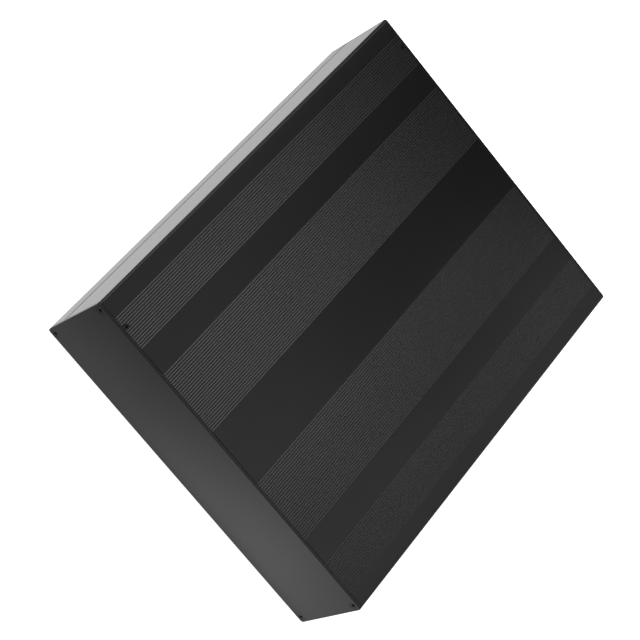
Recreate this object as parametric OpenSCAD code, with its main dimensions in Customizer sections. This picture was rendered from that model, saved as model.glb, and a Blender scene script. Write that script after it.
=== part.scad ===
// Split aluminium enclosure for an amplifier: two ribbed extrusions that interlock along a shadow
// gap in each side, closed by two flat end plates.
// +Z is up, +X runs across the box and the front plate faces -Y. The origin is the base's centre.

/* [Overall size] */
// Width over both sides
body_w = 250; // [236:1:300]
// Height from the base to the crests of the upper ribs
body_h = 67; // [60:0.5:90]
// Length of the two shells, between the end plates
shell_l = 313; // [120:1:420]

/* [Shell section] */
// Thickness of the side walls
side_wall = 2.5; // [2.3:0.1:4]
// Thickness of the ribbed walls, measured at the crests
face_wall = 3; // [2.4:0.1:5]
// Radius of the four long outer edges and of the plates' corners
edge_r = 2; // [1:0.1:2.3]

/* [Ribs] */
// Distance from one groove to the next
rib_pitch = 1.675; // [1.4:0.005:2.4]
// Flat left on the crest between two grooves
crest_w = 0.35; // [0.2:0.05:0.6]
// Flat at the bottom of a groove
groove_floor = 0.2; // [0.1:0.05:0.4]
// Depth of a groove
groove_depth = 0.35; // [0.2:0.05:0.7]
// Smooth width from a side to the first groove of the outer ribs
edge_band = 13.5; // [9:0.1:18]
// Width of the outer ribs, from first to last groove
outer_ribs = 23.45; // [15:0.05:28]
// Smooth width from the middle to the first groove of the inner ribs
middle_band = 21.65; // [12:0.05:26]
// Width of the inner ribs, from first to last groove
inner_ribs = 45.25; // [30:0.05:48]

/* [Side seam] */
// Height of the middle of the shadow gap above the base
seam_z = 20.8; // [18:0.1:26]
// Height of the shadow gap
seam_gap = 1.5; // [0.5:0.1:3]
// Thickness of the lip of the upper shell that covers the tongue
lip_t = 1.2; // [0.9:0.05:1.3]
// Clearance between lip and tongue
tongue_gap = 0.1; // [0.05:0.05:0.2]
// Rise of the tongue above the middle of the shadow gap
tongue_rise = 4.2; // [3:0.1:6]

/* [Board guides] */
// Width of a slot that takes the edge of a circuit board
slot_w = 2; // [1.6:0.1:2.4]
// Thickness of the rails beside a slot
rail_t = 1.5; // [1:0.1:2]
// Reach of the rails from the side wall
rail_reach = 3; // [2:0.1:4]
// Distance of the highest slot below the ribbed face
upper_slot_drop = 15; // [12:0.5:17]
// Distance between the two slots of the upper shell
upper_slot_step = 14; // [8:0.5:15]
// Height of the slot of the lower shell above the base
lower_slot_z = 11; // [10.5:0.1:12]

/* [End plates] */
// Thickness of a plate
plate_t = 2; // [1.8:0.1:4]
// Break on the rims of a plate
plate_break = 0.3; // [0.1:0.05:0.5]

/* [Plate screws] */
// Distance of a screw from the side of the box
screw_side = 4.4; // [4:0.1:6]
// Distance of a screw from the top or the base
screw_drop = 3.9; // [3.6:0.1:6]
// Diameter of the shank
shank_d = 2.6; // [2:0.1:3]
// Diameter of the countersunk head
head_d = 5.6; // [5:0.1:6.2]
// Length of a screw with its head
screw_l = 10; // [6:0.5:16]
// Wall round a screw channel
channel_wall = 1.5; // [1.2:0.1:2.5]
// Width of the slit that opens a screw channel towards the inside
channel_slit = 1; // [0.6:0.1:1.6]

/* [Cover screws] */
// Distance of the two cover screws from the left side
cover_side = 21.9; // [16:0.1:30]
// Distance of a cover screw from the end of the shell
cover_inset = 2.4; // [2.3:0.1:8]
// Diameter of the shank
cover_shank_d = 1.7; // [1.4:0.1:2]
// Diameter of the countersunk head
cover_head_d = 3.8; // [3:0.1:4]
// Length of a cover screw with its head
cover_l = 5; // [4:0.1:5.5]
// Width of the thick strip under the ribbed face that takes the cover screws
strip_w = 8; // [6:0.5:12]
// Depth of that strip below the ribbed wall
strip_drop = 3; // [3:0.1:5]

/* [Screw fit] */
// Clearance round shanks and heads
screw_gap = 0.1; // [0.05:0.05:0.2]
// Depth of a head below the surface it is sunk in
head_sink = 0.1; // [0.05:0.05:0.3]
// Height of the straight rim of a head
head_rim = 0.2; // [0.1:0.05:0.3]
// Share of a head's diameter that the cross recess spans
recess_span = 0.56; // [0.4:0.02:0.65]
// Share of a head's diameter that each wing of the recess is wide
recess_wing = 0.15; // [0.1:0.01:0.2]

/* [Hidden] */
$fn = 48;
// Overlap of cutting shapes past the face that they open
cut = 1;

half_w = body_w / 2;
// Half the mouth of a groove
mouth = (rib_pitch - crest_w) / 2;
// Places of the grooves on one half, from the middle outwards
inner_count = round(inner_ribs / rib_pitch);
outer_count = round(outer_ribs / rib_pitch);
outer_start = half_w - edge_band - outer_count * rib_pitch;
half_grooves = concat(
    [for (i = [0 : inner_count]) middle_band + i * rib_pitch],
    [for (i = [0 : outer_count]) outer_start + i * rib_pitch]);
last_groove = len(half_grooves) - 1;
// All grooves from right to left
grooves = concat([for (i = [last_groove : -1 : 0]) half_grooves[i]], -half_grooves);

tongue_top = seam_z + tongue_rise;
lip_bottom = seam_z + seam_gap / 2;
lower_lip_top = seam_z - seam_gap / 2;
channel_d = shank_d + 2 * screw_gap;
channel_r = channel_d / 2 + channel_wall;
screw_x = half_w - screw_side;
plate_y = shell_l / 2;
cover_x = cover_side - half_w;
cover_y = shell_l / 2 - cover_inset;

// The four points of a groove in a face at height 0, from right to left
function groove(x) = [
    [x + mouth, 0],
    [x + groove_floor / 2, -groove_depth],
    [x - groove_floor / 2, -groove_depth],
    [x - mouth, 0]];

// Section of a ribbed wall whose crests lie at height 0, between the rounded edges
module ribbed_wall() {
    edge = half_w - edge_r;
    polygon(concat(
        [[-edge, -face_wall], [edge, -face_wall], [edge, 0]],
        [for (x = grooves) each groove(x)],
        [[-edge, 0]]));
}

// Rectangle from one corner to the opposite one
module block(x0, z0, x1, z1) {
    translate([min(x0, x1), min(z0, z1)]) square([abs(x1 - x0), abs(z1 - z0)]);
}

// Two rails on the inside of the right wall, with a board slot between them
module board_guide(z) {
    root_x = half_w - side_wall / 2;
    tip_x = half_w - side_wall - rail_reach;
    for (s = [-1, 1]) {
        rail_z = z + s * (slot_w + rail_t) / 2;
        block(root_x, rail_z - rail_t / 2, tip_x, rail_z + rail_t / 2);
    }
}

// Round wall of the right screw channel, and its bore with the slit turned into the box
module channel_post(z) {
    translate([screw_x, z]) circle(r = channel_r);
}

module channel_bore(z, turn) {
    translate([screw_x, z]) {
        circle(d = channel_d);
        rotate(turn) translate([0, -channel_slit / 2]) square([channel_r + cut, channel_slit]);
    }
}

// What a shell's section has on the right, and again mirrored on the left
module both_sides() {
    children();
    mirror([1, 0]) children();
}

// Section of the upper shell: ribbed face, corners, tall walls and the lips below them
module upper_section() {
    post_z = body_h - screw_drop;
    difference() {
        union() {
            translate([0, body_h]) ribbed_wall();
            both_sides() {
                translate([half_w - edge_r, body_h - edge_r]) circle(r = edge_r);
                block(half_w, tongue_top, half_w - side_wall, body_h - edge_r);
                block(half_w, lip_bottom, half_w - lip_t, tongue_top + side_wall);
                channel_post(post_z);
                for (i = [0, 1]) board_guide(body_h - upper_slot_drop - i * upper_slot_step);
                block(-cover_x - strip_w / 2, body_h - face_wall - strip_drop,
                    -cover_x + strip_w / 2, body_h - face_wall / 2);
            }
        }
        both_sides() channel_bore(post_z, 225);
    }
}

// Section of the lower shell: ribbed base, corners, low walls and the tongues above them
module lower_section() {
    difference() {
        union() {
            rotate(180) ribbed_wall();
            both_sides() {
                translate([half_w - edge_r, edge_r]) circle(r = edge_r);
                block(half_w, edge_r, half_w - side_wall, lower_lip_top);
                block(half_w - lip_t - tongue_gap, lower_lip_top - side_wall,
                    half_w - side_wall, tongue_top);
                channel_post(screw_drop);
                board_guide(lower_slot_z);
            }
        }
        both_sides() channel_bore(screw_drop, 135);
    }
}

// A section in the XZ plane, carried along the whole length of the shells
module extrusion() {
    rotate([90, 0, 0]) linear_extrude(height = shell_l, center = true) children();
}

// Countersunk screw with its head's top at height 0 and its point down; grow swells it to its hole
module countersunk(d, head, length, grow) {
    cone_h = (head - d) / 2;
    translate([0, 0, -length - grow]) cylinder(d = d + 2 * grow, h = length + grow - head_rim);
    translate([0, 0, -head_rim - cone_h]) cylinder(d1 = d + 2 * grow, d2 = head + 2 * grow, h = cone_h);
    translate([0, 0, -head_rim]) cylinder(d = head + 2 * grow, h = head_rim);
}

// Hole for such a screw, open above the head
module countersunk_hole(d, head, length) {
    countersunk(d, head, length, screw_gap);
    translate([0, 0, -head_rim]) cylinder(d = head + 2 * screw_gap, h = head_rim + cut);
}

// Four-winged recess that narrows towards its point
module cross_recess(head) {
    span = head * recess_span;
    wing = head * recess_wing;
    intersection() {
        translate([0, 0, -span / 2]) cylinder(d1 = wing, d2 = span, h = span / 2 + cut / 10);
        for (a = [0, 90]) rotate(a) translate([-span, -wing / 2, -span]) cube([2 * span, wing, 2 * span]);
    }
}

module cross_screw(d, head, length) {
    difference() {
        countersunk(d, head, length, 0);
        cross_recess(head);
    }
}

// Places of the four screws of the front plate, looking along +Y, heads outwards
module at_plate_screws() {
    for (x = [-screw_x, screw_x], z = [screw_drop, body_h - screw_drop])
        translate([x, -plate_y - plate_t + head_sink, z]) rotate([90, 0, 0]) children();
}

// Places of the two cover screws
module at_cover_screws() {
    for (y = [-cover_y, cover_y]) translate([cover_x, y, body_h - head_sink]) children();
}

module upper_shell() {
    color("#26272a") difference() {
        extrusion() upper_section();
        at_cover_screws() countersunk_hole(cover_shank_d, cover_head_d, cover_l);
    }
}

module lower_shell() {
    color("#26272a") extrusion() lower_section();
}

// Strip of sheet with both rims broken, centred, w wide along X and l long along Z
module broken_strip(w, l) {
    a = w / 2;
    b = plate_t / 2;
    c = plate_break;
    linear_extrude(height = l, center = true)
        polygon([[-a, c - b], [c - a, -b], [a - c, -b], [a, c - b],
            [a, b - c], [a - c, b], [c - a, b], [-a, b - c]]);
}

// Round corner of the sheet with both rims broken
module broken_corner() {
    core = plate_t - 2 * plate_break;
    rotate([90, 0, 0]) {
        cylinder(r = edge_r, h = core, center = true);
        for (m = [0, 1]) mirror([0, 0, m]) translate([0, 0, core / 2])
            cylinder(r1 = edge_r, r2 = edge_r - plate_break, h = plate_break);
    }
}

// End plate in the place of the front one
module end_plate() {
    difference() {
        translate([0, -plate_y - plate_t / 2, body_h / 2]) {
            broken_strip(body_w, body_h - 2 * edge_r);
            rotate([0, 90, 0]) broken_strip(body_h, body_w - 2 * edge_r);
            for (x = [-1, 1], z = [-1, 1])
                translate([x * (half_w - edge_r), 0, z * (body_h / 2 - edge_r)]) broken_corner();
        }
        at_plate_screws() countersunk_hole(shank_d, head_d, screw_l);
    }
}

module front_plate() {
    color("#2a2b2e") end_plate();
}

module rear_plate() {
    color("#2a2b2e") rotate(180) end_plate();
}

module plate_screws() {
    color("#17181a") for (turn = [0, 180]) rotate(turn)
        at_plate_screws() cross_screw(shank_d, head_d, screw_l);
}

module cover_screws() {
    color("#17181a") at_cover_screws() cross_screw(cover_shank_d, cover_head_d, cover_l);
}

upper_shell();
lower_shell();
front_plate();
rear_plate();
plate_screws();
cover_screws();
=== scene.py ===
from math import asin, cos, degrees, radians, sin

import bpy
import numpy as np
from mathutils import Matrix, Vector


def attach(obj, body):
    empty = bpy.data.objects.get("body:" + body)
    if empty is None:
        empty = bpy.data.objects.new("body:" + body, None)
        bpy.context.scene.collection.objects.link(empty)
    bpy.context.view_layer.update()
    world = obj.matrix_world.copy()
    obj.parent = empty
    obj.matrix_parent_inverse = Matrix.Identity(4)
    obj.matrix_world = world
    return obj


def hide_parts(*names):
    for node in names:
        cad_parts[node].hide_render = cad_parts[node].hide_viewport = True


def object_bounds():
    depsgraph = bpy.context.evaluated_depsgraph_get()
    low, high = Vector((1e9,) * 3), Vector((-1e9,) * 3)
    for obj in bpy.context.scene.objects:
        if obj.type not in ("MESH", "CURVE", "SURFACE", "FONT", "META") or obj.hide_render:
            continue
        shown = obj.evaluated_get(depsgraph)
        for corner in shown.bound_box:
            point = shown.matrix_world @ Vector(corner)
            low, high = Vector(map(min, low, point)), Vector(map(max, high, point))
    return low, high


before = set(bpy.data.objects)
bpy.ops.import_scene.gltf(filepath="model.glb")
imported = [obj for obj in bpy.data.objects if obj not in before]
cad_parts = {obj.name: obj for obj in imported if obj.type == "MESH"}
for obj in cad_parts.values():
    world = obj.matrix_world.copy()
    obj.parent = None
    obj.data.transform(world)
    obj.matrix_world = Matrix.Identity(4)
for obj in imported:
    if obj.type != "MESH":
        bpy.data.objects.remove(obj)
cad_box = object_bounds()
scene = bpy.context.scene

# Camera.
# It looks down on the front left corner from above, rolled over so that the box's long edges climb
# the picture from left to right. A long lens keeps those edges nearly parallel.
LENS_MM = 112.43
SENSOR_MM = 36.0
VIEW_TURN = radians(20.352)
VIEW_RISE = radians(53.092)
VIEW_ROLL = radians(66.885)
VIEW_DISTANCE = 1.3196
AIM_RIGHT = -0.01652
AIM_UP = -0.00514

low, high = (Vector(v) for v in cad_box)
back = Vector((-sin(VIEW_TURN) * cos(VIEW_RISE), -cos(VIEW_TURN) * cos(VIEW_RISE), sin(VIEW_RISE)))
level_right = Vector((0, 0, 1)).cross(back).normalized()
level_up = back.cross(level_right)
right = level_right * cos(VIEW_ROLL) + level_up * sin(VIEW_ROLL)
up = back.cross(right)
eye = (low + high) / 2 + right * AIM_RIGHT + up * AIM_UP + back * VIEW_DISTANCE
camera = bpy.data.objects.new("camera", bpy.data.cameras.new("camera"))
camera.data.lens = LENS_MM
camera.data.sensor_width = SENSOR_MM
camera.matrix_world = Matrix((
    (right.x, up.x, back.x, eye.x),
    (right.y, up.y, back.y, eye.y),
    (right.z, up.z, back.z, eye.z),
    (0, 0, 0, 1)))
scene.collection.objects.link(camera)
scene.camera = camera
scene.view_settings.view_transform = "Standard"

# Upper shell.
# The lid of the box: one aluminium extrusion with a ribbed face, two tall walls and a lip below each.
# It is cut to length, deburred, drilled for two small screws, blasted and anodised black.
MM = 0.001
BODY_W = 250.0
BODY_H = 67.0
SHELL_L = 313.0
SIDE_WALL = 2.5
FACE_WALL = 3.0
EDGE_R = 2.0
RIB_PITCH = 1.675
CREST_W = 0.35
CREST_R = 0.3
GROOVE_FLOOR = 0.2
GROOVE_R = 0.2
GROOVE_DEPTH = 0.35
EDGE_BAND = 13.5
OUTER_GROOVES = 15
MIDDLE_BAND = 21.65
INNER_GROOVES = 28
SEAM_Z = 20.8
SEAM_GAP = 1.5
LIP_T = 1.2
TONGUE_GAP = 0.1
TONGUE_RISE = 4.2
SLOT_W = 2.0
RAIL_T = 1.5
RAIL_REACH = 3.0
UPPER_SLOTS = (52.0, 38.0)
SCREW_SIDE = 4.4
SCREW_DROP = 3.9
CHANNEL_BORE_R = 1.4
CHANNEL_R = 2.9
CHANNEL_SLIT = 1.0
SLIT_AT = 225
CHANNEL_STEPS = (6, 24, 8)
STRIP_X = 103.1
STRIP_W = 8.0
STRIP_DROP = 3.0
SECTION_R = 0.25
DEBURR = 0.2
half_w = BODY_W / 2
inner_x = half_w - SIDE_WALL
tongue_top = SEAM_Z + TONGUE_RISE


def ribbed_face():
    """Corners and radii of the right half of a ribbed face at height 0, from the middle outwards.

    Each groove is a trapezium: mouth, floor, floor, mouth. Its mouth is half the pitch less half a crest
    from the groove's middle, and its floor lies one groove depth down.
    """
    inner = MIDDLE_BAND + RIB_PITCH * np.arange(INNER_GROOVES)
    outer = half_w - EDGE_BAND - RIB_PITCH * np.arange(OUTER_GROOVES)[::-1]
    middle = np.concatenate((inner, outer))[:, None]
    mouth = (RIB_PITCH - CREST_W) / 2
    x = middle + np.array([-mouth, -GROOVE_FLOOR / 2, GROOVE_FLOOR / 2, mouth])
    z = np.zeros_like(x) + np.array([0, -GROOVE_DEPTH, -GROOVE_DEPTH, 0])
    r = np.zeros_like(x) + np.array([CREST_R, GROOVE_R, GROOVE_R, CREST_R])
    return np.stack((x, z, r), axis=-1).reshape(-1, 3)


def screw_channel():
    """Corners and radii of the round screw channel in the upper right corner, from ceiling to wall.

    Two arcs of the outer circle, and between them the arc of the bore, which a slit at 225 degrees opens.
    """
    rise = SCREW_DROP - FACE_WALL
    reach = SCREW_SIDE - SIDE_WALL
    from_ceiling = 180 - degrees(asin(rise / CHANNEL_R))
    to_wall = 360 - degrees(np.arccos(reach / CHANNEL_R))
    outer = degrees(asin(CHANNEL_SLIT / 2 / CHANNEL_R))
    inner = degrees(asin(CHANNEL_SLIT / 2 / CHANNEL_BORE_R))
    first, bore, last = CHANNEL_STEPS
    angle = np.radians(np.concatenate((
        np.linspace(from_ceiling, SLIT_AT - outer, first),
        np.linspace(SLIT_AT - inner, SLIT_AT - 360 + inner, bore),
        np.linspace(SLIT_AT + outer, to_wall, last))))
    radius = np.repeat((CHANNEL_R, CHANNEL_BORE_R, CHANNEL_R), CHANNEL_STEPS)
    x = half_w - SCREW_SIDE + radius * np.cos(angle)
    z = BODY_H - SCREW_DROP + radius * np.sin(angle)
    return np.stack((x, z, np.full_like(x, SECTION_R / 2)), axis=-1)


def board_rails(heights):
    """Corners and radii of the rails on the right wall, downwards, for board slots at these heights."""
    tip = inner_x - RAIL_REACH
    edge = np.array([SLOT_W / 2 + RAIL_T, SLOT_W / 2 + RAIL_T, SLOT_W / 2, SLOT_W / 2])
    z = np.array(heights)[:, None] + np.concatenate((edge, -edge[::-1]))
    x = np.zeros_like(z) + np.array([inner_x, tip, tip, inner_x, inner_x, tip, tip, inner_x])
    return np.stack((x, z, np.full_like(x, SECTION_R)), axis=-1).reshape(-1, 3)


def rounded(half, steps=4):
    """Closed outline from its right half: mirrored, then each corner turned into an arc.

    With unit vectors u and v from a corner to its neighbours, the arc of radius r touches both edges at
    r / tan(half the angle) and its centre lies along u + v at r / sin(half the angle).
    """
    left = half[::-1] * (-1, 1, 1)
    corners = np.concatenate((half, left))
    p, r = corners[:, :2], corners[:, 2:]
    u = np.roll(p, 1, axis=0) - p
    v = np.roll(p, -1, axis=0) - p
    u /= np.linalg.norm(u, axis=1, keepdims=True)
    v /= np.linalg.norm(v, axis=1, keepdims=True)
    half_angle = np.arccos(np.clip((u * v).sum(axis=1, keepdims=True), -1, 1)) / 2
    middle = (u + v) / np.linalg.norm(u + v, axis=1, keepdims=True)
    centre = p + middle * r / np.sin(half_angle)
    start = p + u * r / np.tan(half_angle) - centre
    side = np.stack((-start[:, 1], start[:, 0]), axis=-1)
    turn = np.sign(u[:, :1] * v[:, 1:] - u[:, 1:] * v[:, :1]) * -1
    sweep = turn * (np.pi - 2 * half_angle) * np.linspace(0, 1, steps + 1)
    out = start[:, None] * np.cos(sweep)[..., None] + side[:, None] * np.sin(sweep)[..., None]
    return (centre[:, None] + out).reshape(-1, 2)


def carried(outline, y0, y1, rim, steps=3):
    """Solid of an XZ outline carried along Y from y0 to y1, with both end rims rounded.

    At angle a on the rim the outline lies rim * (1 - cos a) inside its full size, along its own normals,
    and rim * (1 - sin a) from the end.
    """
    ahead = np.roll(outline, -1, axis=0) - np.roll(outline, 1, axis=0)
    normal = np.stack((ahead[:, 1], -ahead[:, 0]), axis=-1)
    normal /= np.linalg.norm(normal, axis=1, keepdims=True)
    a = np.radians(np.linspace(90, 0, steps + 1))
    inset = rim * (1 - np.cos(a))
    depth = rim * (1 - np.sin(a))
    inset = np.concatenate((inset, inset[::-1]))
    y = np.concatenate((y0 + depth, y1 - depth[::-1]))
    ring = outline - inset[:, None, None] * normal
    along = np.broadcast_to(y[:, None, None], ring.shape[:2] + (1,))
    points = np.concatenate((ring, along), axis=-1)
    n = len(outline)
    i = np.arange(n)
    j = np.roll(i, -1)
    step = n * np.arange(len(y) - 1)[:, None]
    sides = np.stack((step + i, step + n + i, step + n + j, step + j), axis=-1).reshape(-1, 4)
    last = n * (len(y) - 1)
    faces = sides.tolist() + [i.tolist(), (last + i[::-1]).tolist()]
    return points[..., (0, 2, 1)].reshape(-1, 3), faces


TRUE_EDGE = radians(35)
FLATS_FIRST = 100


def drilled(points, faces, name, cutter=None):
    """Object of a solid given in mm, with the cutter's solids taken out of it, shaded by true edges."""
    mesh = bpy.data.meshes.new(name)
    mesh.from_pydata((points * MM).tolist(), [], faces)
    if cutter is not None:
        body = bpy.data.objects.new(name + "_blank", mesh)
        tool = bpy.data.objects.new(name + "_tool", bpy.data.meshes.new(name + "_tool"))
        tool.data.from_pydata((cutter[0] * MM).tolist(), [], cutter[1])
        scene.collection.objects.link(body)
        scene.collection.objects.link(tool)
        cut = body.modifiers.new("drill", "BOOLEAN")
        cut.object = tool
        cut.solver = "MANIFOLD"
        depsgraph = bpy.context.evaluated_depsgraph_get()
        mesh = bpy.data.meshes.new_from_object(body.evaluated_get(depsgraph))
        mesh.name = name
        mesh.materials.clear()
        bpy.data.objects.remove(body)
        bpy.data.objects.remove(tool)
    mesh.shade_smooth()
    mesh.set_sharp_from_angle(angle=TRUE_EDGE)
    piece = bpy.data.objects.new(name, mesh)
    scene.collection.objects.link(piece)
    shading = piece.modifiers.new("true flats", "WEIGHTED_NORMAL")
    shading.keep_sharp = True
    shading.weight = FLATS_FIRST
    return piece


def turned(profile, steps):
    """Points (profile, angle) of a profile of radius and height turned about Z, top first, and its faces.

    A point is (r cos a, r sin a, z). The faces are quads between the rings and a flat cap at each end.
    """
    a = np.linspace(0, 2 * np.pi, steps, endpoint=False)
    r, z = profile[:, :1], profile[:, 1:]
    points = np.stack((r * np.cos(a), r * np.sin(a), z + 0 * a), axis=-1)
    i = np.arange(steps)
    j = np.roll(i, -1)
    ring = steps * np.arange(len(profile) - 1)[:, None]
    quads = np.stack((ring + i, ring + steps + i, ring + steps + j, ring + j), axis=-1).reshape(-1, 4)
    caps = np.stack((i, steps * (len(profile) - 1) + i[::-1]))
    return points, (quads, caps)


def placed(points, faces, turns, places):
    """One mesh of copies: each 3 x 3 turn applied to the points and moved to its place."""
    every = np.einsum("kij,nj->kni", turns, points) + places[:, None]
    shift = len(points) * np.arange(len(places))[:, None, None]
    groups = [(group + shift).reshape(-1, group.shape[1]).tolist() for group in faces]
    return every.reshape(-1, 3), sum(groups, [])


def linear(code):
    """Linear RGBA of an sRGB hex code: c / 12.92 below 0.04045, else ((c + 0.055) / 1.055) ** 2.4."""
    c = np.array([int(code[k:k + 2], 16) for k in (1, 3, 5)]) / 255
    c = np.where(c <= 0.04045, c / 12.92, ((c + 0.055) / 1.055) ** 2.4)
    return (*(float(v) for v in c), 1.0)


def add(tree, kind, settings=None, **links):
    """Adds a node, sets its properties or input values, and links the named inputs from given sockets."""
    node = tree.nodes.new(kind)
    for key, value in (settings or {}).items():
        if key in node.inputs:
            node.inputs[key].default_value = value
        else:
            setattr(node, key, value)
    for key, socket in links.items():
        tree.links.new(socket, node.inputs[key.replace("_", " ")])
    return node


COVER_X = -103.1
COVER_Y = 154.1
COVER_HEAD_R = 1.9
COVER_SHANK_R = 0.85
COVER_L = 5.0
SCREW_GAP = 0.1
HEAD_SINK = 0.1
HEAD_RIM = 0.2
DRILL_PAST = 1.0
HOLE_STEPS = 64


def countersink(shank, head, length):
    """Profile of a countersunk hole: past the surface, straight rim, 45 degree cone, shank, flat end."""
    s, h = shank + SCREW_GAP, head + SCREW_GAP
    return np.array([
        (h, DRILL_PAST), (h, -HEAD_RIM), (s, -HEAD_RIM - head + shank), (s, -length - SCREW_GAP)])


right_half = np.concatenate((
    [(STRIP_X - STRIP_W / 2, BODY_H - FACE_WALL, SECTION_R),
     (STRIP_X - STRIP_W / 2, BODY_H - FACE_WALL - STRIP_DROP, SECTION_R),
     (STRIP_X + STRIP_W / 2, BODY_H - FACE_WALL - STRIP_DROP, SECTION_R),
     (STRIP_X + STRIP_W / 2, BODY_H - FACE_WALL, SECTION_R)],
    screw_channel(),
    board_rails(UPPER_SLOTS),
    [(inner_x, tongue_top, SECTION_R),
     (half_w - LIP_T, tongue_top, SECTION_R),
     (half_w - LIP_T, SEAM_Z + SEAM_GAP / 2, SECTION_R),
     (half_w, SEAM_Z + SEAM_GAP / 2, SECTION_R),
     (half_w, BODY_H, EDGE_R)],
    ribbed_face()[::-1] + (0, BODY_H, 0)))
cover_hole = turned(countersink(COVER_SHANK_R, COVER_HEAD_R, COVER_L), HOLE_STEPS)
cover_z = BODY_H - HEAD_SINK
cover_places = np.array([(COVER_X, -COVER_Y, cover_z), (COVER_X, COVER_Y, cover_z)])
cover_turns = np.stack((np.eye(3), np.eye(3)))
cutter = placed(cover_hole[0].reshape(-1, 3), cover_hole[1], cover_turns, cover_places)
points, faces = carried(rounded(right_half), -SHELL_L / 2, SHELL_L / 2, DEBURR)
upper = drilled(points, faces, "upper_shell_finish", cutter)

# Black anodised aluminium, bead blasted: the dark oxide keeps a satin sheen of the metal below it, which
# is faint when seen square on and bright at a grazing angle. Fine lines from the die still run along the
# length under the blasted grain. Both are drawn at three times their real size so that they show.
DIE_LINE_MM = 0.9
CLOUD_MM = 45.0
GRAIN_MM = 0.7
ANODISED = "#232323"
ANODISED_DEEP = "#202020"
SATIN = 0.31
SATIN_SPREAD = 0.02
DIE_LINE_RELIEF = 0.05
DIE_LINE_RISE = 0.05
SHELL_LINES = (1, 0.01, 1)
SHELL_SHEEN = "#ffffff"


def anodised(name, line_stretch, sheen):
    """Material of black anodised metal: dye clouds in the colour, drawn lines and grain in the gloss."""
    finish = bpy.data.materials.new(name)
    finish.use_nodes = True
    tree = finish.node_tree
    tree.nodes.clear()
    place = add(tree, "ShaderNodeTexCoord")
    stretch = add(tree, "ShaderNodeMapping", {"Scale": line_stretch}, Vector=place.outputs["Object"])
    lines = add(tree, "ShaderNodeTexNoise", {"Scale": 1000 / DIE_LINE_MM, "Detail": 1.0},
                Vector=stretch.outputs["Vector"])
    clouds = add(tree, "ShaderNodeTexNoise", {"Scale": 1000 / CLOUD_MM, "Detail": 2.0},
                 Vector=place.outputs["Object"])
    grain = add(tree, "ShaderNodeTexNoise", {"Scale": 1000 / GRAIN_MM, "Detail": 2.0},
                Vector=place.outputs["Object"])
    dye = add(tree, "ShaderNodeMix", {"data_type": "RGBA"})
    dye.inputs[6].default_value = linear(ANODISED_DEEP)
    dye.inputs[7].default_value = linear(ANODISED)
    tree.links.new(clouds.outputs["Fac"], dye.inputs[0])
    gloss = add(tree, "ShaderNodeMapRange", {
        "To Min": SATIN - SATIN_SPREAD, "To Max": SATIN + SATIN_SPREAD}, Value=grain.outputs["Fac"])
    relief = add(tree, "ShaderNodeBump", {
        "Strength": DIE_LINE_RELIEF, "Distance": DIE_LINE_RISE * MM}, Height=lines.outputs["Fac"])
    shader = add(tree, "ShaderNodeBsdfPrincipled", {"Metallic": 1.0, "Specular Tint": linear(sheen)},
                 Base_Color=dye.outputs[2], Roughness=gloss.outputs["Result"],
                 Normal=relief.outputs["Normal"])
    add(tree, "ShaderNodeOutputMaterial", Surface=shader.outputs["BSDF"])
    return finish


extruded = anodised("black anodised aluminium, blasted extrusion", SHELL_LINES, SHELL_SHEEN)
upper.data.materials.append(extruded)
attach(upper, "root")
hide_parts("upper_shell")

# Lower shell.
# The tray of the box: the same kind of extrusion, ribbed below, with low walls. A tongue on each wall
# slides up behind the lid's lip and leaves an even shadow gap along the side.
LOWER_SLOT = 11.0
lower_half = np.concatenate((
    ribbed_face() * (1, -1, 1),
    [(half_w, 0, EDGE_R),
     (half_w, SEAM_Z - SEAM_GAP / 2, SECTION_R),
     (half_w - LIP_T - TONGUE_GAP, SEAM_Z - SEAM_GAP / 2, SECTION_R),
     (half_w - LIP_T - TONGUE_GAP, tongue_top, SECTION_R),
     (inner_x, tongue_top, SECTION_R)],
    board_rails((LOWER_SLOT,)),
    screw_channel()[::-1] * (1, -1, 1) + (0, BODY_H, 0)))
points, faces = carried(rounded(lower_half), -SHELL_L / 2, SHELL_L / 2, DEBURR)
lower = drilled(points, faces, "lower_shell_finish")
lower.data.materials.append(extruded)
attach(lower, "root")
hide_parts("lower_shell")

# End plates.
# Two flat sheets of 2 mm aluminium, cut to the outline of the box with its corner radius, rims broken,
# countersunk for four screws each and anodised in the same bath as the shells.
PLATE_T = 2.0
PLATE_RIM = 0.3
HEAD_R = 2.8
SHANK_R = 1.3
SCREW_L = 10.0
CORNER_STEPS = 8
SHEET_LINES = (0.02, 1, 1)
SHEET_SHEEN = "#dcdcdc"
screw_x = half_w - SCREW_SIDE
screw_z = np.array((SCREW_DROP, BODY_H - SCREW_DROP))
front_y = -SHELL_L / 2 - PLATE_T + HEAD_SINK
front_places = np.array([(x, front_y, z) for x in (-screw_x, screw_x) for z in screw_z])
front_turns = np.broadcast_to(np.array([(1, 0, 0), (0, 0, -1), (0, 1, 0)]), (4, 3, 3))
about_turn = np.diag((-1, -1, 1))
plate_half = np.array([(half_w, 0, EDGE_R), (half_w, BODY_H, EDGE_R)])
hole_points, hole_faces = turned(countersink(SHANK_R, HEAD_R, SCREW_L), HOLE_STEPS)
sheet = anodised("black anodised aluminium, blasted sheet", SHEET_LINES, SHEET_SHEEN)
plate_outline = rounded(plate_half, CORNER_STEPS)
points, faces = carried(plate_outline, -SHELL_L / 2 - PLATE_T, -SHELL_L / 2, PLATE_RIM)
for end, turn in (("front", np.eye(3)), ("rear", about_turn)):
    holes = placed(hole_points.reshape(-1, 3), hole_faces, turn @ front_turns, front_places @ turn)
    plate = drilled(points @ turn, faces, end + "_plate_finish", holes)
    plate.data.materials.append(sheet)
    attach(plate, "root")
    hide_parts(end + "_plate")

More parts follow.
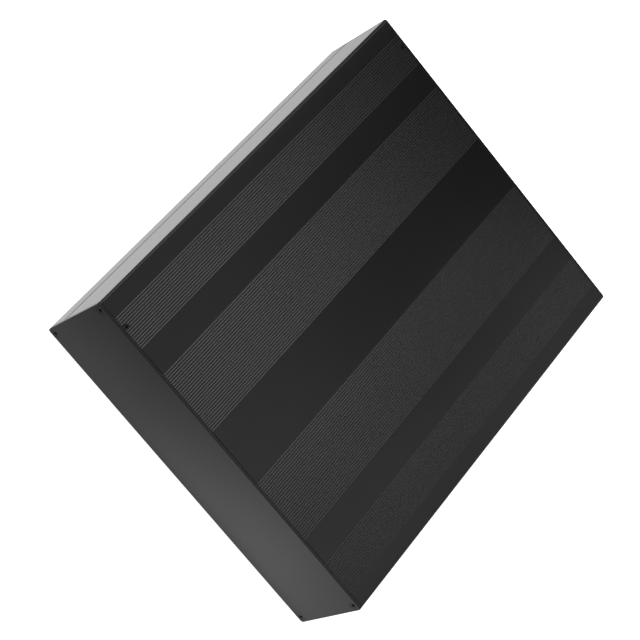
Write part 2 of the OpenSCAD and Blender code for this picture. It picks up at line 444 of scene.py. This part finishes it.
# Plate screws.
# Eight M3 countersunk steel screws with a cross recess, cold headed and blackened, sunk just below the
# face of the plates and driven into the open channels in the corners of the shells.
RECESS_SPAN = 0.56
RECESS_WING = 0.15
RECESS_CORE = 0.34
RECESS_WALL = 7.0
RECESS_TIP = 2.4
RECESS_DEPTH = 0.64
FACE_RINGS = 34
FACE_MIDDLE = 0.02
HEAD_EDGE = 0.08
HEAD_EDGE_SIDE, HEAD_EDGE_DROP = 0.03, 0.02
SCREW_POINT = 0.3


def cross_screw(shank, head, length, steps=96):
    """Countersunk screw pointing down with its head's top at height 0.

    Turned from a profile of head face, rim, 45 degree cone and shank. Inside the recess, which is a cross
    joined with a round core, the face drops by a steep wall from the nearest edge, no deeper than a steep
    cone from the wings' tips and no deeper than its flat bottom.
    """
    face = np.linspace(FACE_MIDDLE, head - HEAD_EDGE, FACE_RINGS)
    profile = np.concatenate((
        np.stack((face, 0 * face), axis=-1),
        [(head - HEAD_EDGE_SIDE, -HEAD_EDGE_DROP), (head, -HEAD_EDGE), (head, -HEAD_RIM),
         (shank, -HEAD_RIM - head + shank), (shank, -length + SCREW_POINT),
         (shank - SCREW_POINT, -length)]))
    points, faces = turned(profile, steps)
    top = points[:len(face)]
    near = np.minimum(abs(top[..., 0]), abs(top[..., 1]))
    far = np.maximum(abs(top[..., 0]), abs(top[..., 1]))
    wings = np.minimum(RECESS_WING * head - near, RECESS_SPAN * head - far)
    inside = np.maximum(wings, RECESS_CORE * head - face[:, None])
    cone = (RECESS_SPAN * head - face[:, None]) * RECESS_TIP
    top[..., 2] = -np.clip(inside * RECESS_WALL, 0, np.clip(cone, 0, RECESS_DEPTH * head))
    return points.reshape(-1, 3), faces


# Blackened steel: a thin dark oxide on a smooth cold headed surface, close to the plates in tone.
OXIDE = "#212121"
OXIDE_SHEEN = "#dcdcdc"
OXIDE_SMOOTH, OXIDE_ROUGH = 0.29, 0.36
SCALE_MARK_MM = 0.5
blackened = bpy.data.materials.new("black oxide steel, cold headed")
blackened.use_nodes = True
tree = blackened.node_tree
tree.nodes.clear()
place = add(tree, "ShaderNodeTexCoord")
scale_marks = add(tree, "ShaderNodeTexNoise", {"Scale": 1000 / SCALE_MARK_MM, "Detail": 2.0},
                  Vector=place.outputs["Object"])
gloss = add(tree, "ShaderNodeMapRange", {"To Min": OXIDE_SMOOTH, "To Max": OXIDE_ROUGH},
            Value=scale_marks.outputs["Fac"])
shader = add(tree, "ShaderNodeBsdfPrincipled", {
    "Metallic": 1.0, "Base Color": linear(OXIDE), "Specular Tint": linear(OXIDE_SHEEN)},
    Roughness=gloss.outputs["Result"])
add(tree, "ShaderNodeOutputMaterial", Surface=shader.outputs["BSDF"])


def screws(name, screw, turns, places):
    """One piece of copies of a screw at these turns and places, blackened and fixed to the box."""
    points, faces = placed(*screw, turns, places)
    piece = drilled(points, faces, name)
    piece.data.materials.append(blackened)
    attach(piece, "root")
    return piece


all_turns = np.concatenate((front_turns, about_turn @ front_turns))
all_places = np.concatenate((front_places, front_places @ about_turn))
plate_screws = screws("plate_screws_finish", cross_screw(SHANK_R, HEAD_R, SCREW_L), all_turns, all_places)
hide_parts("plate_screws")

# Cover screws.
# Two smaller screws of the same kind, sunk into the ribs at the left, one near each end of the lid. They
# are driven into the thick strip that runs under the ribs.
cover_screws = screws("cover_screws_finish", cross_screw(COVER_SHANK_R, COVER_HEAD_R, COVER_L),
                      cover_turns, cover_places)
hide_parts("cover_screws")

# Floor.
# A sheet of white paper, which takes the box's shadow and which the camera sees evenly white. A glow that
# only glossy rays meet paints a reflection into the metal: white beside the box out to a painted edge,
# and brighter ahead of the plate, most at the right.
FLOOR = 30.0
PAPER = "#e6e6e6"
PAPER_GLOW = 0.96
BESIDE_FRONT, BESIDE_BACK = 1.53, 1.28
BESIDE_FROM, BESIDE_TO = -0.15, 0.3
PAINTED_EDGE_FROM, PAINTED_EDGE_TO = 0.3, 0.45
RISE_FROM, RISE_TO = -0.05, 0.06
CORNER_FROM, CORNER_TO = 0.09, 0.165
FADE_LENGTH = 0.01
AHEAD_LEFT, AHEAD_RIGHT, AHEAD_CORNER, AHEAD_FAR = 2.1, 2.95, 2.0, 0.4
AHEAD_FROM, AHEAD_TO, AHEAD_SLANT = -0.165, -0.265, 0.19
floor_mesh = bpy.data.meshes.new("floor")
floor_mesh.from_pydata(
    [(-FLOOR, -FLOOR, 0), (FLOOR, -FLOOR, 0), (FLOOR, FLOOR, 0), (-FLOOR, FLOOR, 0)], [], [(0, 1, 2, 3)])
floor = bpy.data.objects.new("floor", floor_mesh)
scene.collection.objects.link(floor)


def seen_white(tree, direct):
    """Input socket for the mirrored level, and output socket of the strength that each kind of ray meets.

    Strength is max(camera, transmission) * direct + glossy * mirrored, so other rays get none.
    """
    ray = add(tree, "ShaderNodeLightPath")
    straight = add(tree, "ShaderNodeMath", {"operation": "MAXIMUM"})
    tree.links.new(ray.outputs["Is Camera Ray"], straight.inputs[0])
    tree.links.new(ray.outputs["Is Transmission Ray"], straight.inputs[1])
    bounced = add(tree, "ShaderNodeMath", {"operation": "MULTIPLY"})
    tree.links.new(ray.outputs["Is Glossy Ray"], bounced.inputs[0])
    level = add(tree, "ShaderNodeMath", {"operation": "MULTIPLY_ADD"})
    tree.links.new(straight.outputs[0], level.inputs[0])
    level.inputs[1].default_value = direct
    tree.links.new(bounced.outputs[0], level.inputs[2])
    return bounced.inputs[1], level.outputs[0]


paper = bpy.data.materials.new("white paper with painted reflection")
paper.use_nodes = True
paper.cycles.emission_sampling = "NONE"
tree = paper.node_tree
tree.nodes.clear()
place = add(tree, "ShaderNodeTexCoord")
axes = add(tree, "ShaderNodeSeparateXYZ", Vector=place.outputs["Object"])
# Painted reflection ahead of the plate: brighter towards the right, dimmer further ahead.
rising = add(tree, "ShaderNodeMapRange", {
    "From Min": RISE_FROM, "From Max": RISE_TO, "To Min": AHEAD_LEFT, "To Max": AHEAD_RIGHT},
    Value=axes.outputs["X"])
across = add(tree, "ShaderNodeMapRange", {
    "From Min": CORNER_FROM, "From Max": CORNER_TO, "To Max": AHEAD_CORNER},
    Value=axes.outputs["X"], To_Min=rising.outputs["Result"])
slant = add(tree, "ShaderNodeVectorMath", {"operation": "DOT_PRODUCT"}, Vector=place.outputs["Object"])
slant.inputs[1].default_value = (AHEAD_SLANT, 1, 0)
ahead = add(tree, "ShaderNodeMapRange", {
    "From Min": AHEAD_TO, "From Max": AHEAD_FROM, "To Min": AHEAD_FAR},
    Value=slant.outputs["Value"], To_Max=across.outputs["Result"])
# Painted reflection beside the box: brighter at the front, ending at a painted edge to either side.
beside = add(tree, "ShaderNodeMapRange", {
    "From Min": BESIDE_FROM, "From Max": BESIDE_TO, "To Min": BESIDE_FRONT, "To Max": BESIDE_BACK},
    Value=axes.outputs["Y"])
sideways = add(tree, "ShaderNodeMath", {"operation": "ABSOLUTE"}, Value=axes.outputs["X"])
painted_beside = add(tree, "ShaderNodeMapRange", {"From Min": PAINTED_EDGE_FROM, "From Max": PAINTED_EDGE_TO, "To Max": 0.0},
            Value=sideways.outputs["Value"], To_Min=beside.outputs["Result"])
fade = add(tree, "ShaderNodeMapRange", {"From Min": AHEAD_FROM, "From Max": AHEAD_FROM + FADE_LENGTH},
           Value=axes.outputs["Y"], To_Min=ahead.outputs["Result"], To_Max=painted_beside.outputs["Result"])
mirrored, level = seen_white(tree, PAPER_GLOW)
tree.links.new(fade.outputs["Result"], mirrored)
glow = add(tree, "ShaderNodeEmission", Strength=level)
matt = add(tree, "ShaderNodeBsdfDiffuse", {"Color": linear(PAPER)})
both = add(tree, "ShaderNodeAddShader")
tree.links.new(glow.outputs[0], both.inputs[0])
tree.links.new(matt.outputs[0], both.inputs[1])
# Glossy rays meet only the glow, which holds the painted reflection; other rays also meet the matt paper.
ray = add(tree, "ShaderNodeLightPath")
sheet_face = add(tree, "ShaderNodeMixShader", Fac=ray.outputs["Is Glossy Ray"])
tree.links.new(both.outputs[0], sheet_face.inputs[1])
tree.links.new(glow.outputs[0], sheet_face.inputs[2])
add(tree, "ShaderNodeOutputMaterial", Surface=sheet_face.outputs[0])
floor_mesh.materials.append(paper)

# Light.
# A white room with soft boxes round the table. The camera sees the room white all over. The metal mirrors
# it pale overhead and in front, and dim towards the back, where a grey curtain hangs.
ROOM_FRONT, ROOM_BACK = 0.8, 0.18
DIM_FROM, DIM_TO = -0.1, 0.25
ROOM_WHITE = 1.0
AIM = Vector((0, 0, 0.05))
STAND = 1.4
world = bpy.data.worlds.new("studio")
scene.world = world
world.use_nodes = True
tree = world.node_tree
room = tree.nodes["Background"]
room.inputs["Color"].default_value = (1, 1, 1, 1)
direction = add(tree, "ShaderNodeTexCoord")
axes = add(tree, "ShaderNodeSeparateXYZ", Vector=direction.outputs["Generated"])
walls = add(tree, "ShaderNodeMapRange", {
    "From Min": DIM_FROM, "From Max": DIM_TO, "To Min": ROOM_FRONT, "To Max": ROOM_BACK},
    Value=axes.outputs["Y"])
mirrored, level = seen_white(tree, ROOM_WHITE)
tree.links.new(walls.outputs["Result"], mirrored)
tree.links.new(level, room.inputs["Strength"])


def soft_box(name, place, size, brightness):
    """Area lamp at a place in metres, turned to the box, whose face has this brightness (1 is white)."""
    lamp = bpy.data.lights.new(name, "AREA")
    lamp.shape = "RECTANGLE"
    lamp.size, lamp.size_y = size
    lamp.energy = brightness * np.pi * size[0] * size[1]
    stand = bpy.data.objects.new(name, lamp)
    stand.location = place
    stand.rotation_euler = (AIM - Vector(place)).to_track_quat("-Z", "Y").to_euler()
    stand.visible_camera = False
    scene.collection.objects.link(stand)


def around(azimuth, rise):
    """Place of a far stand, from its azimuth clockwise from +Y and its rise above the box, in degrees."""
    a, e = radians(azimuth), radians(rise)
    return STAND * sin(a) * cos(e), STAND * cos(a) * cos(e), STAND * sin(e) + AIM.z


soft_box("left_box", around(298, 35), (0.64, 0.4), 10.8)
soft_box("back_left_box", around(338, 44), (0.45, 0.6), 4.9)
soft_box("back_top_box", around(0, 62), (0.45, 0.45), 1.5)
soft_box("right_top_box", around(40, 64), (0.45, 0.45), 3.0)
soft_box("right_low_box", (0.53, 0.19, 0.17), (0.6, 0.25), 2.2)
soft_box("back_near_box", (0.25, 0.38, 0.36), (0.2, 0.2), 1.65)
soft_box("right_near_box", (0.3, 0.08, 0.36), (0.42, 0.2), 0.95)
soft_box("front_box", around(190, 28), (0.6, 0.6), 2.0)
soft_box("right_box", around(120, 28), (0.6, 0.6), 2.0)
